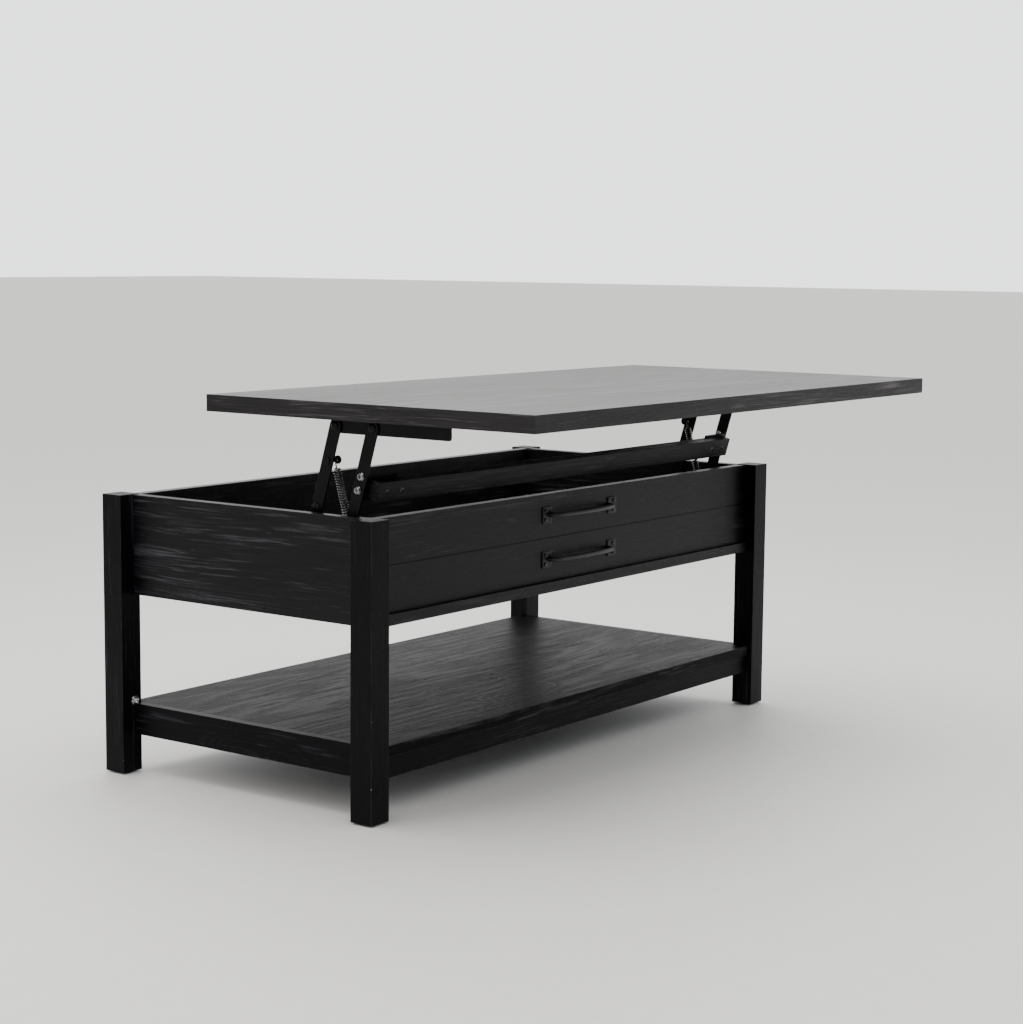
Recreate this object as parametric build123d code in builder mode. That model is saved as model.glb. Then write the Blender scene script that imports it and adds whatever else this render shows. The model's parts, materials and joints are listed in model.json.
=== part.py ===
from build123d import *
from math import cos, radians, sin
import os

# A lift-top coffee table, modelled with its top raised and swung forward.
# X runs along the table, -Y is the front, where the two pulls are, and Z is up.
# The origin is on the floor, in the middle of the outline that the table covers with its top raised.

# ---- driving dimensions, mm and degrees ----

# base frame
base_length = 1067.0             # over the outer faces of the legs
base_depth = 525.0
leg_side = 38.0
leg_height = 421.5
glide_thickness = 2.5
glide_radius = 11.0
glide_nail_radius = 1.2
glide_nail_length = 12.0
board = 16.0                     # every board except the top
edge_ease = 0.6                  # rounding of board edges

# storage compartment
apron_drop = 1.0                 # legs stand this much above the aprons
apron_height = 150.5
side_apron_proud = 3.7           # side aprons' inner faces past the legs' inner faces
floor_front_inset = 13.8         # the compartment floor shows as a ledge
groove_height = 67.5             # above the compartment floor
groove_width = 2.0
groove_depth = 1.5

# lower shelf
shelf_top = 106.0
rail_bottom = 59.0
side_rail_proud = 4.0            # side rails' inner faces past the legs' inner faces
shelf_front_inset = 7.7
shelf_back_inset = 20.0
front_rail_inset = 11.7
rail_screw_length = 24.0         # through the rail, above its pocket

# knock-down fixings
side_fixing_depth = 9.7          # bolts and dowels from the side aprons' inner faces
cam_radius = 7.5
cam_depth = 12.5
cam_setback = 34.0               # cam centre from the board's end
cam_socket_radius = 2.5
cam_socket_depth = 3.0
bolt_radius = 3.0
bolt_in_leg = 10.0
side_bolt_margins = (22.0, 26.0)  # from the side apron's lower and upper edges
cross_bolt_margins = (26.0, 46.0)  # from the compartment floor and the apron's upper edge
dowel_radius = 3.0
dowel_half = 12.0
cross_dowel_rise = 18.0          # above the apron's mid height
dowel_clearance = 1.5            # between a side rail's dowel and a long rail's
insert_radius = 7.5
insert_depth = 6.0
insert_bore = 3.5
insert_rise = 4.6                # insert centre above the shelf's top
screw_radius = 2.0
screw_head_radius = 4.0
screw_head = 2.2
screw_bite = 12.0                # screw length in the board it holds to
floor_screw_shares = (0.2, 0.55, 0.9)   # of the way from the middle to the side
rail_screw_shares = (0.3, 0.85)
bracket_screw_shares = (0.08, 0.5, 0.92)   # of the way along a top bracket

# pulls
pull_middle = -8.0               # pulls' middle from the panel's
pull_half_span = 80.0            # bar's feet from the pull's middle
pull_standoff = 15.0             # bar's centre from the panel, near its feet
pull_bow = 5.0                   # extra reach at the middle
pull_bend = 11.0
pull_foot_splay = 2.0            # feet wider than the bar's corners
pull_sweep_radius = 600.0
pull_rod_radius = 4.4
pull_plate_width = 24.0
pull_plate_height = 26.0
pull_plate_thickness = 2.0
pull_plate_centre = 88.0         # from the pull's middle
pull_screw_column = 92.0
pull_screw_pitch = 14.0
pull_screw_head = 1.6
pull_screw_head_radius = 3.2
pull_drops = {"upper": 32.0, "lower": 100.4}   # below the front panel's top

# top
top_end_overhang = 16.5          # past the legs, with the top down
top_front_overhang = 24.5        # at the front and at the back
top_thickness = 24.0
band_thickness = 1.0
closed_gap = 0.3                 # between the leg tops and the lowered top

# lift linkage, the same on both sides
arm_length = 210.0               # between pivots
arm_width = 20.0
arm_thickness = 3.0
raised_lean = 16.3               # forward of upright, on the raised stop
lowered_rise = 18.2              # above level, with the top down
pivot_drop = 15.0                # upper pivots below the top's underside
pivot_setback = 101.306          # front lower pivots behind the legs' front faces
arm_spacing = 67.7               # front pivots to rear pivots
arm_standoff = 9.8               # side apron's inner face to the arms
plate_thickness = 2.5
plate_margin = 20.0              # plate past the pivots and the posts
plate_corner = 8.0
plate_screw_clearance = 1.0      # from the screws' heads to the cams
pin_radius = 4.0
pin_clearance = 0.05
pin_head_radius = 7.0
pin_head = 2.5
bracket_height = 25.0
bracket_width = 22.0
bracket_front = 96.3             # ahead of the top's middle
bracket_tail = 10.0              # behind the rear pivot
bracket_thickness = 2.5
bracket_corner = 4.0
stop_pin_radius = 4.0
stop_pin_place = 45.0            # along the raised front arm
stop_gap = 0.2

# crossbar between the front arms
bar_start = 108.2                # along the arm from its lower pivot
bar_height = 30.4
bar_end_inset = 63.5             # from the legs' outer faces
flange_length = 62.0
flange_rise = 3.4                # flange above the bar's upper edge
cheek_end_margin = 6.5           # cheek past the upper bolt
cheek_inset = 2.0                # cheek's rear edge ahead of the arm's
arm_bolts = (118.9, 139.2)       # along the arm
arm_bolt_radius = 3.0
arm_bolt_head_radius = 5.6
arm_bolt_head_height = 3.6
bar_screw_insets = (82.0, 116.0)  # from the legs' outer faces

# assist springs
stud_place = 158.2               # along the rear arm from its lower pivot
rivet_place = 88.0
rivet_head_radius = 7.0
stud_radius = 3.0
knob_radius = 6.0
knob_height = 4.0
spring_standoff = 13.5           # arm's inner face to the spring's middle
spring_radius = 5.75
wire_radius = 1.0
eye_play = 0.3
anchor_drop = 173.6              # spring anchor below the raised stud
anchor_ahead = 48.6              # and ahead of it
hook_length = 11.0

# ---- levels and places that follow ----

leg_top = glide_thickness + leg_height
apron_top = leg_top - apron_drop
floor_bottom = apron_top - apron_height
floor_top = floor_bottom + board
shelf_bottom = shelf_top - board

lean, rise = radians(raised_lean), radians(lowered_rise)
forward_travel = arm_length * (sin(lean) + cos(rise))
upward_travel = arm_length * (cos(lean) - sin(rise))

top_length = base_length + 2 * top_end_overhang
top_depth = base_depth + 2 * top_front_overhang
base_y = (forward_travel + top_front_overhang) / 2
front_y = base_y - base_depth / 2
back_y = base_y + base_depth / 2
top_y = base_y - forward_travel
half_length = base_length / 2
leg_inner_x = half_length - leg_side
panel_y = front_y + leg_side - board          # front panel's outer face
back_apron_y = back_y - leg_side              # back apron's inner face
side_inner_x = leg_inner_x - side_apron_proud
side_rail_inner_x = leg_inner_x - side_rail_proud

closed_underside = leg_top + closed_gap
underside = closed_underside + upward_travel
low_z = closed_underside - pivot_drop - arm_length * sin(rise)
high_z = underside - pivot_drop
low_y = {"front": front_y + pivot_setback, "rear": front_y + pivot_setback + arm_spacing}
high_y = {place: y - arm_length * sin(lean) for place, y in low_y.items()}

arm_outer_x = side_inner_x - arm_standoff
arm_inner_x = arm_outer_x - arm_thickness
bracket_inner_x = arm_inner_x - stop_gap - bracket_thickness
spring_x = arm_inner_x - spring_standoff
plate_inner_x = side_inner_x - plate_thickness

SIDES = (("left", -1), ("right", 1))
ENDS = (("front", front_y + leg_side / 2, -1), ("back", back_y - leg_side / 2, 1))
os.makedirs("parts", exist_ok=True)


def save(piece, name):
    """Name a finished piece and write it out."""
    piece.part.label = name
    export_step(piece.part, f"parts/{name}.step")


def along_arm(place, ahead=0.0, arm="front"):
    """(y, z) of a point on a raised arm: place from its lower pivot, ahead of its centre line."""
    y = low_y[arm] - place * sin(lean) - ahead * cos(lean)
    return y, low_z + place * cos(lean) - ahead * sin(lean)


def outward(side, x, place):
    """A plane at distance x from the table's middle and at (y, z), looking out to one end."""
    return Plane(origin=(side * x, *place), z_dir=(side, 0, 0))


def profile_plane(side, inner, outer):
    """The lower-x face of a plate that spans two distances from the middle, drawn in (y, z)."""
    return Plane(origin=(min(side * inner, side * outer), 0, 0), x_dir=(0, 1, 0), z_dir=(1, 0, 0))


def bore(planes, radius, depth):
    """Cut round holes that run from each plane along its normal."""
    with Locations(*planes):
        Cylinder(radius, depth, align=(Align.CENTER, Align.CENTER, Align.MIN), mode=Mode.SUBTRACT)


def rod(planes, radius, length):
    """Add round bars that run from each plane along its normal."""
    with Locations(*planes):
        Cylinder(radius, length, align=(Align.CENTER, Align.CENTER, Align.MIN))


def shifted(planes, distance):
    """The same planes moved along their normals."""
    return [plane.offset(distance) for plane in planes]


def gathered(*groups):
    """Every plane of several groups, such as those of the four corners."""
    return [plane for group in groups for planes in group.values() for plane in planes]


def slab(x0, x1, y0, y1, z0, z1, ease=edge_ease):
    """A board between two corners, with its edges eased."""
    with Locations(((x0 + x1) / 2, (y0 + y1) / 2, (z0 + z1) / 2)):
        blank = Box(x1 - x0, y1 - y0, z1 - z0)
    if ease:
        fillet(blank.edges(), ease)


# ---- where the fixings go ----
# Each plane lies on a leg face where a board butts, and looks into the leg.

side_fix_x = side_inner_x + side_fixing_depth
side_heights = (floor_bottom + side_bolt_margins[0], apron_top - side_bolt_margins[1])
cross_heights = (floor_top + cross_bolt_margins[0], apron_top - cross_bolt_margins[1])
side_dowel_z = (floor_bottom + apron_top) / 2
cross_dowel_z = side_dowel_z + cross_dowel_rise


def into_leg_y(x, side, end, z):
    """Where a side board's end meets a leg."""
    y = front_y + leg_side if end < 0 else back_y - leg_side
    return Plane(origin=(side * x, y, z), z_dir=(0, end, 0))


def into_leg_x(side, y, z):
    """Where a long board's end meets a leg."""
    return Plane(origin=(side * leg_inner_x, y, z), z_dir=(side, 0, 0))


def side_bolts(side, end):
    return [into_leg_y(side_fix_x, side, end, z) for z in side_heights]


def cross_bolts(side, y):
    return [into_leg_x(side, y, z) for z in cross_heights]


def cams(bolt_planes, inner_face, facing):
    """Cam pockets on a board's inner face, one for each bolt."""
    found = []
    for plane in bolt_planes:
        centre = plane.origin - plane.z_dir * cam_setback
        place = [centre.X, centre.Y, centre.Z]
        place[0 if facing[0] else 1] = inner_face
        found.append(Plane(origin=tuple(place), z_dir=facing))
    return found


CORNERS = [(side, end) for _, side in SIDES for _, _, end in ENDS]
cross_fix_y = {-1: panel_y + board / 2, 1: back_apron_y + board / 2}
cross_inner_face = {-1: panel_y + board, 1: back_apron_y}
rail_y = {-1: front_y + front_rail_inset + board / 2, 1: back_apron_y + board / 2}
rail_z = (rail_bottom + shelf_bottom) / 2

side_bolt_planes = {(s, e): side_bolts(s, e) for s, e in CORNERS}
cross_bolt_planes = {(s, e): cross_bolts(s, cross_fix_y[e]) for s, e in CORNERS}
side_dowel_planes = {(s, e): [into_leg_y(side_fix_x, s, e, side_dowel_z)] for s, e in CORNERS}
cross_dowel_planes = {(s, e): [into_leg_x(s, cross_fix_y[e], cross_dowel_z)] for s, e in CORNERS}
side_cam_planes = {(s, e): cams(side_bolt_planes[s, e], s * side_inner_x, (s, 0, 0)) for s, e in CORNERS}
cross_cam_planes = {(s, e): cams(cross_bolt_planes[s, e], cross_inner_face[e], (0, e, 0)) for s, e in CORNERS}
long_rail_dowels = {(s, e): [into_leg_x(s, rail_y[e], rail_z)] for s, e in CORNERS}
side_rail_dowel_z = rail_z - 2 * dowel_radius - dowel_clearance
side_rail_dowels = {(s, e): [into_leg_y(side_fix_x, s, e, side_rail_dowel_z)] for s, e in CORNERS}
insert_x = side_rail_inner_x + board
insert_planes = {
    (s, e): [into_leg_y(insert_x, s, e, shelf_top + insert_rise)] if s * e < 0 else [] for s, e in CORNERS
}

# ---- lift linkage places ----

stud_at = along_arm(stud_place, arm="rear")
anchor_at = (stud_at[0] - anchor_ahead, stud_at[1] - anchor_drop)
stop_at = along_arm(stop_pin_place, arm_width / 2 + stop_gap + stop_pin_radius)
plate_front, plate_back = anchor_at[0] - plate_margin, low_y["rear"] + plate_margin
plate_bottom, plate_top = anchor_at[1] - plate_margin, stop_at[1] + plate_margin / 2
plate_back_top = low_z + plate_margin
cam_edge_y = front_y + leg_side + cam_setback + cam_radius
plate_screw_y = cam_edge_y + screw_head_radius + plate_screw_clearance
plate_screws = {
    side: [
        outward(side, side_inner_x, place)
        for place in (
            (plate_screw_y, plate_bottom + plate_corner),
            (plate_screw_y, plate_top - plate_corner),
            (plate_back - plate_corner, plate_bottom + plate_corner),
            (plate_back - plate_corner, plate_back_top - plate_corner),
        )
    ]
    for _, side in SIDES
}

# ---- legs and their fittings ----

for end_name, leg_y, end in ENDS:
    for side_name, side in SIDES:
        corner = (side, end)
        leg_x = side * (half_length - leg_side / 2)
        with BuildPart() as leg:
            slab(
                leg_x - leg_side / 2, leg_x + leg_side / 2, leg_y - leg_side / 2, leg_y + leg_side / 2,
                glide_thickness, leg_top,
            )
            bore(side_bolt_planes[corner] + cross_bolt_planes[corner], bolt_radius, bolt_in_leg)
            bore(side_dowel_planes[corner] + cross_dowel_planes[corner], dowel_radius, dowel_half)
            bore(long_rail_dowels[corner] + side_rail_dowels[corner], dowel_radius, dowel_half)
            if insert_planes[corner]:
                bore(insert_planes[corner], insert_radius, insert_depth)
            bore([Plane(origin=(leg_x, leg_y, glide_thickness))], glide_nail_radius, glide_nail_length)
        save(leg, f"leg_{end_name}_{side_name}")

with BuildPart() as glides:
    leg_middle_x = half_length - leg_side / 2
    corners = [Plane(origin=(side * leg_middle_x, y, 0)) for _, side in SIDES for _, y, _ in ENDS]
    rod(corners, glide_radius, glide_thickness)
    rod(shifted(corners, glide_thickness), glide_nail_radius, glide_nail_length)
save(glides, "leg_glides")

with BuildPart() as inserts:
    all_inserts = gathered(insert_planes)
    rod(all_inserts, insert_radius, insert_depth)
    bore(all_inserts, insert_bore, insert_depth)
save(inserts, "leg_inserts")

# ---- storage compartment ----

for side_name, side in SIDES:
    near, far = sorted((side * side_inner_x, side * (side_inner_x + board)))
    with BuildPart() as apron:
        slab(near, far, front_y + leg_side, back_y - leg_side, floor_bottom, apron_top)
        for _, _, end in ENDS:
            bore(shifted(side_bolt_planes[side, end], -cam_setback), bolt_radius, cam_setback)
            bore(side_cam_planes[side, end], cam_radius, cam_depth)
            bore(shifted(side_dowel_planes[side, end], -dowel_half), dowel_radius, dowel_half)
        bore(plate_screws[side], screw_radius, screw_bite)
    save(apron, f"side_apron_{side_name}")


def cross_board(end, y0, bottom):
    """A board between two legs, drilled for its bolts, cams and dowels."""
    slab(-leg_inner_x, leg_inner_x, y0, y0 + board, bottom, apron_top)
    for _, side in SIDES:
        bore(shifted(cross_bolt_planes[side, end], -cam_setback), bolt_radius, cam_setback)
        bore(cross_cam_planes[side, end], cam_radius, cam_depth)
        bore(shifted(cross_dowel_planes[side, end], -dowel_half), dowel_radius, dowel_half)


with BuildPart() as back_apron:
    cross_board(1, back_apron_y, floor_bottom)
save(back_apron, "back_apron")

# The front panel is one board. A shallow groove makes it look like two drawer fronts.
pull_z = {name: apron_top - drop for name, drop in pull_drops.items()}
pull_screws = [
    Plane(
        origin=(pull_middle + side * pull_screw_column, panel_y, z + up * pull_screw_pitch / 2), z_dir=(0, 1, 0)
    )
    for z in pull_z.values() for _, side in SIDES for up in (-1, 1)
]
floor_screws = [
    Plane(origin=(side * share * side_inner_x, panel_y + board / 2, floor_bottom))
    for share in floor_screw_shares for _, side in SIDES
]
with BuildPart() as front_panel:
    cross_board(-1, panel_y, floor_top)
    with Locations((0, panel_y, floor_top + groove_height)):
        Box(2 * leg_inner_x, 2 * groove_depth, groove_width, mode=Mode.SUBTRACT)
    bore(pull_screws, screw_radius, screw_bite)
    bore(shifted(floor_screws, board), screw_radius, screw_bite)
save(front_panel, "front_panel")

with BuildPart() as compartment_floor:
    slab(-side_inner_x, side_inner_x, front_y + floor_front_inset, back_apron_y, floor_bottom, floor_top)
    bore(floor_screws, screw_radius, board)
    bore(floor_screws, screw_head_radius, screw_head)
save(compartment_floor, "compartment_floor")

# ---- lower shelf and its rails ----

rail_pocket = shelf_bottom - rail_bottom - rail_screw_length
rail_screws = [
    Plane(origin=(side * side_rail_inner_x * share, rail_y[end], shelf_bottom - rail_screw_length))
    for share in rail_screw_shares for side, end in CORNERS
]
for side_name, side in SIDES:
    near, far = sorted((side * side_rail_inner_x, side * (side_rail_inner_x + board)))
    with BuildPart() as rail:
        slab(near, far, front_y + leg_side, back_y - leg_side, rail_bottom, shelf_top)
        for _, _, end in ENDS:
            bore(shifted(side_rail_dowels[side, end], -dowel_half), dowel_radius, dowel_half)
    save(rail, f"shelf_rail_{side_name}")

for end_name, _, end in ENDS:
    with BuildPart() as rail:
        slab(
            -leg_inner_x, leg_inner_x, rail_y[end] - board / 2, rail_y[end] + board / 2,
            rail_bottom, shelf_bottom,
        )
        for _, side in SIDES:
            bore(shifted(long_rail_dowels[side, end], -dowel_half), dowel_radius, dowel_half)
        rail_holes = [plane for plane in rail_screws if plane.origin.Y == rail_y[end]]
        bore(rail_holes, screw_radius, rail_screw_length)
        bore(shifted(rail_holes, -rail_pocket), screw_head_radius, rail_pocket)
    save(rail, f"shelf_rail_{end_name}")

with BuildPart() as shelf:
    slab(
        -side_rail_inner_x, side_rail_inner_x, front_y + shelf_front_inset, back_y - shelf_back_inset,
        shelf_bottom, shelf_top,
    )
    bore(shifted(rail_screws, rail_screw_length), screw_radius, screw_bite)
save(shelf, "shelf")

# ---- knock-down fixings ----

all_bolts = gathered(side_bolt_planes, cross_bolt_planes)
all_cams = gathered(side_cam_planes, cross_cam_planes)
all_dowels = gathered(side_dowel_planes, cross_dowel_planes, long_rail_dowels, side_rail_dowels)

with BuildPart() as cam_bolts:
    rod(shifted(all_bolts, cam_radius - cam_setback), bolt_radius, cam_setback - cam_radius + bolt_in_leg)
save(cam_bolts, "cam_bolts")

with BuildPart() as cam_locks:
    rod(all_cams, cam_radius, cam_depth)
    bore(all_cams, cam_socket_radius, cam_socket_depth)
save(cam_locks, "cam_locks")

with BuildPart() as dowels:
    rod(shifted(all_dowels, -dowel_half), dowel_radius, 2 * dowel_half)
save(dowels, "dowels")


def screws(name, planes, length, head, head_radius=screw_head_radius):
    """Screws whose heads' undersides lie on the planes, and whose shanks run along their normals."""
    with BuildPart() as group:
        rod(planes, screw_radius, length)
        rod(shifted(planes, -head), head_radius, head)
    save(group, name)


screws("floor_screws", shifted(floor_screws, screw_head), board - screw_head + screw_bite, screw_head)
screws("shelf_screws", rail_screws, rail_screw_length + screw_bite, screw_head)

# ---- pulls ----

for name, z in pull_z.items():
    bar_y, plate_y = panel_y - pull_standoff, panel_y - pull_plate_thickness / 2
    with BuildPart() as pull:
        with BuildLine(Plane.XY.offset(z)) as path:
            FilletPolyline(
                (pull_middle - pull_half_span, plate_y),
                (pull_middle - pull_half_span + pull_foot_splay, bar_y),
                (pull_middle, bar_y - pull_bow),
                (pull_middle + pull_half_span - pull_foot_splay, bar_y),
                (pull_middle + pull_half_span, plate_y),
                radius=[pull_bend, pull_sweep_radius, pull_bend],
            )
        with BuildSketch(path.line ^ 0):
            Circle(pull_rod_radius)
        sweep()
        with Locations(*[(pull_middle + side * pull_plate_centre, plate_y, z) for _, side in SIDES]):
            Box(pull_plate_width, pull_plate_thickness, pull_plate_height)
        bore(shifted(pull_screws, -pull_plate_thickness), screw_radius, pull_plate_thickness)
    save(pull, f"pull_{name}")

screws(
    "pull_screws", shifted(pull_screws, -pull_plate_thickness), pull_plate_thickness + screw_bite,
    pull_screw_head, pull_screw_head_radius,
)

# ---- lift linkage: parts fixed to the base ----

for side_name, side in SIDES:
    with BuildPart() as base_plate:
        with BuildSketch(profile_plane(side, plate_inner_x, side_inner_x)) as outline:
            with BuildLine():
                Polyline(
                    (plate_front, plate_bottom), (plate_back, plate_bottom), (plate_back, plate_back_top),
                    (stop_at[0] + plate_margin, plate_top), (plate_front, plate_top), close=True,
                )
            make_face()
            fillet(outline.vertices(), plate_corner)
        extrude(amount=plate_thickness)
        inner = [outward(side, plate_inner_x, (low_y[arm], low_z)) for arm in low_y]
        bore(inner, pin_radius, plate_thickness)
        bore([outward(side, plate_inner_x, anchor_at)], stud_radius, plate_thickness)
        bore([outward(side, plate_inner_x, stop_at)], stud_radius, plate_thickness)
        bore(shifted(plate_screws[side], -plate_thickness), screw_radius, plate_thickness)
    save(base_plate, f"lift_plate_{side_name}")

screws(
    "lift_plate_screws",
    shifted(gathered(plate_screws), -plate_thickness),
    plate_thickness + screw_bite, screw_head,
)

with BuildPart() as lower_pins:
    for _, side in SIDES:
        for arm in low_y:
            place = (low_y[arm], low_z)
            tip, collar = arm_inner_x - stop_gap, arm_outer_x + stop_gap
            rod([outward(side, tip - pin_head, place)], pin_head_radius, pin_head)
            rod([outward(side, tip, place)], pin_radius, side_inner_x - tip)
            rod([outward(side, collar, place)], pin_head_radius, plate_inner_x - collar)
save(lower_pins, "lower_pivot_pins")

with BuildPart() as stop_pins:
    for _, side in SIDES:
        rod([outward(side, arm_inner_x, stop_at)], stop_pin_radius, plate_inner_x - arm_inner_x)
        rod([outward(side, plate_inner_x, stop_at)], stud_radius, plate_thickness)
save(stop_pins, "stop_pins")

knob_x = spring_x - 2 * knob_height
post_x = spring_x - knob_height
with BuildPart() as anchors:
    for _, side in SIDES:
        rod([outward(side, post_x, anchor_at)], stud_radius, side_inner_x - post_x)
        rod([outward(side, knob_x, anchor_at)], knob_radius, knob_height)
save(anchors, "spring_anchors")

# ---- lift linkage: arms, crossbar and springs ----

for side_name, side in SIDES:
    for arm in ("front", "rear"):
        with BuildPart() as link:
            with BuildSketch(profile_plane(side, arm_inner_x, arm_outer_x)):
                with Locations(along_arm(arm_length / 2, arm=arm)):
                    SlotCenterToCenter(arm_length, arm_width, rotation=90 + raised_lean)
            extrude(amount=arm_thickness)
            eyes = [outward(side, arm_inner_x, along_arm(place, arm=arm)) for place in (0, arm_length)]
            bore(eyes, pin_radius + pin_clearance, arm_thickness)
            places = arm_bolts if arm == "front" else (stud_place, rivet_place)
            holes = [outward(side, arm_inner_x, along_arm(place, arm=arm)) for place in places]
            bore(holes, arm_bolt_radius, arm_thickness)
        save(link, f"{arm}_arm_{side_name}")

bar_half = half_length - bar_end_inset
bar_middle = bar_start + bar_height / 2
bar_face = arm_width / 2 + board
bar_screws = [
    Plane(
        origin=(side * (half_length - inset), *along_arm(bar_middle, bar_face)),
        x_dir=(1, 0, 0), z_dir=(0, cos(lean), sin(lean)),
    )
    for inset in bar_screw_insets for _, side in SIDES
]
with BuildPart() as crossbar:
    with BuildSketch(Plane(origin=(-bar_half, 0, 0), x_dir=(0, 1, 0), z_dir=(1, 0, 0))):
        with Locations(along_arm(bar_middle, arm_width / 2 + board / 2)):
            Rectangle(board, bar_height, rotation=raised_lean)
    extrude(amount=2 * bar_half)
    fillet(crossbar.edges(), edge_ease)
    bore(bar_screws, screw_radius, board)
    bore(bar_screws, screw_head_radius, screw_head)
save(crossbar, "crossbar")

cheek_end = arm_bolts[-1] + cheek_end_margin
for side_name, side in SIDES:
    cheek = (arm_inner_x - bracket_thickness, arm_inner_x)
    with BuildPart() as bar_bracket:
        with BuildSketch(profile_plane(side, *cheek)):
            with Locations(along_arm((bar_start + cheek_end) / 2, cheek_inset / 2)):
                Rectangle(arm_width - cheek_inset, cheek_end - bar_start, rotation=raised_lean)
        extrude(amount=bracket_thickness)
        flange = (cheek[0] - flange_length, arm_inner_x - bracket_thickness / 2)
        with BuildSketch(profile_plane(side, *flange)):
            with Locations(along_arm(bar_middle + flange_rise / 2, (arm_width - bracket_thickness) / 2)):
                Rectangle(bracket_thickness, bar_height + flange_rise, rotation=raised_lean)
        extrude(amount=flange[1] - flange[0])
        bolt_holes = [outward(side, cheek[0], along_arm(place)) for place in arm_bolts]
        screw_holes = [plane for plane in bar_screws if plane.origin.X * side > 0]
        bore(bolt_holes, arm_bolt_radius, bracket_thickness)
        bore(shifted(screw_holes, board), screw_radius, bracket_thickness)
    save(bar_bracket, f"crossbar_bracket_{side_name}")

with BuildPart() as bolts:
    for _, side in SIDES:
        for place in arm_bolts:
            at = along_arm(place)
            nut = arm_inner_x - bracket_thickness - arm_bolt_head_height
            rod([outward(side, nut, at)], arm_bolt_head_radius, arm_bolt_head_height)
            rod([outward(side, nut, at)], arm_bolt_radius, arm_outer_x - nut)
            rod([outward(side, arm_outer_x, at)], arm_bolt_head_radius, arm_bolt_head_height)
save(bolts, "arm_bolts")

screws("crossbar_screws", shifted(bar_screws, screw_head), board - screw_head + bracket_thickness, screw_head)

spring_run = Vector(0, anchor_ahead, anchor_drop)
for side_name, side in SIDES:
    with BuildPart() as stud:
        rod([outward(side, post_x, stud_at)], stud_radius, arm_outer_x - post_x)
        rod([outward(side, knob_x, stud_at)], knob_radius, knob_height)
        rod([outward(side, arm_outer_x, stud_at)], knob_radius, knob_height / 2)
    save(stud, f"spring_stud_{side_name}")

    rivet_at = along_arm(rivet_place, arm="rear")
    with BuildPart() as rivet:
        rod([outward(side, arm_inner_x - knob_height / 2, rivet_at)], knob_radius, knob_height / 2)
        rod([outward(side, arm_inner_x, rivet_at)], arm_bolt_radius, arm_thickness)
        rod([outward(side, arm_outer_x, rivet_at)], rivet_head_radius, pin_head)
    save(rivet, f"rear_arm_rivet_{side_name}")

    eye_radius = stud_radius + eye_play + wire_radius
    anchor = Vector(side * spring_x, *anchor_at)
    along = spring_run.normalized()
    coil_length = spring_run.length - 2 * hook_length
    with BuildPart() as spring:
        rod([Plane(origin=anchor + along * eye_radius, z_dir=along)], wire_radius, hook_length - eye_radius)
        rod([Plane(origin=anchor + along * hook_length, z_dir=along)], spring_radius, coil_length)
        with Locations(Plane(origin=anchor, z_dir=(side, 0, 0))):
            Torus(eye_radius, wire_radius)
    save(spring, f"spring_{side_name}")

    with BuildPart() as hook:
        start = anchor + along * (hook_length + coil_length)
        rod([Plane(origin=start, z_dir=along)], wire_radius, hook_length - eye_radius)
        with Locations(Plane(origin=anchor + spring_run, z_dir=(side, 0, 0))):
            Torus(eye_radius, wire_radius)
    save(hook, f"spring_hook_{side_name}")

# ---- top ----

bracket_y = (top_y - bracket_front, high_y["rear"] + bracket_tail)
bracket_screw_x = bracket_inner_x - (bracket_width - bracket_thickness) / 2
bracket_length = bracket_y[1] - bracket_y[0]
bracket_middle_y = (bracket_y[0] + bracket_y[1]) / 2
bracket_leaf_z = underside - bracket_thickness
bracket_screws = [
    Plane(origin=(side * bracket_screw_x, bracket_y[0] + share * bracket_length, bracket_leaf_z))
    for share in bracket_screw_shares for _, side in SIDES
]
core_length, core_depth = top_length - 2 * band_thickness, top_depth - 2 * band_thickness
top_middle_z = underside + top_thickness / 2
with BuildPart() as top_panel:
    with Locations((0, top_y, top_middle_z)):
        Box(core_length, core_depth, top_thickness)
    bore(shifted(bracket_screws, bracket_thickness), screw_radius, screw_bite)
save(top_panel, "top_panel")

for side_name, side in SIDES:
    with BuildPart() as band:
        with Locations((side * (core_length + band_thickness) / 2, top_y, top_middle_z)):
            Box(band_thickness, core_depth, top_thickness)
    save(band, f"top_band_{side_name}")

for end_name, _, end in ENDS:
    with BuildPart() as band:
        with Locations((0, top_y + end * (core_depth + band_thickness) / 2, top_middle_z)):
            Box(top_length, band_thickness, top_thickness)
    save(band, f"top_band_{end_name}")

for side_name, side in SIDES:
    web = (bracket_inner_x, bracket_inner_x + bracket_thickness)
    leaf = (bracket_inner_x + bracket_thickness - bracket_width, bracket_inner_x + bracket_thickness)
    with BuildPart() as top_bracket:
        with BuildSketch(profile_plane(side, *web)) as outline:
            with Locations((bracket_middle_y, underside - bracket_height / 2)):
                Rectangle(bracket_length, bracket_height)
            fillet(outline.vertices().group_by(Axis.Z)[0], bracket_corner)
        extrude(amount=bracket_thickness)
        with BuildSketch(profile_plane(side, *leaf)):
            with Locations((bracket_middle_y, underside - bracket_thickness / 2)):
                Rectangle(bracket_length, bracket_thickness)
        extrude(amount=bracket_width)
        bore([outward(side, web[0], (high_y[arm], high_z)) for arm in high_y], pin_radius, bracket_thickness)
        screw_holes = [plane for plane in bracket_screws if plane.origin.X * side > 0]
        bore(screw_holes, screw_radius, bracket_thickness)
    save(top_bracket, f"top_bracket_{side_name}")

screws("top_bracket_screws", bracket_screws, bracket_thickness + screw_bite, screw_head)

with BuildPart() as upper_pins:
    for _, side in SIDES:
        for arm in high_y:
            place = (high_y[arm], high_z)
            rod([outward(side, bracket_inner_x - 2 * pin_head, place)], pin_head_radius, 2 * pin_head)
            rod([outward(side, bracket_inner_x, place)], pin_radius, arm_outer_x + stop_gap - bracket_inner_x)
            rod([outward(side, arm_outer_x + stop_gap, place)], pin_head_radius, pin_head)
save(upper_pins, "upper_pivot_pins")

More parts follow.
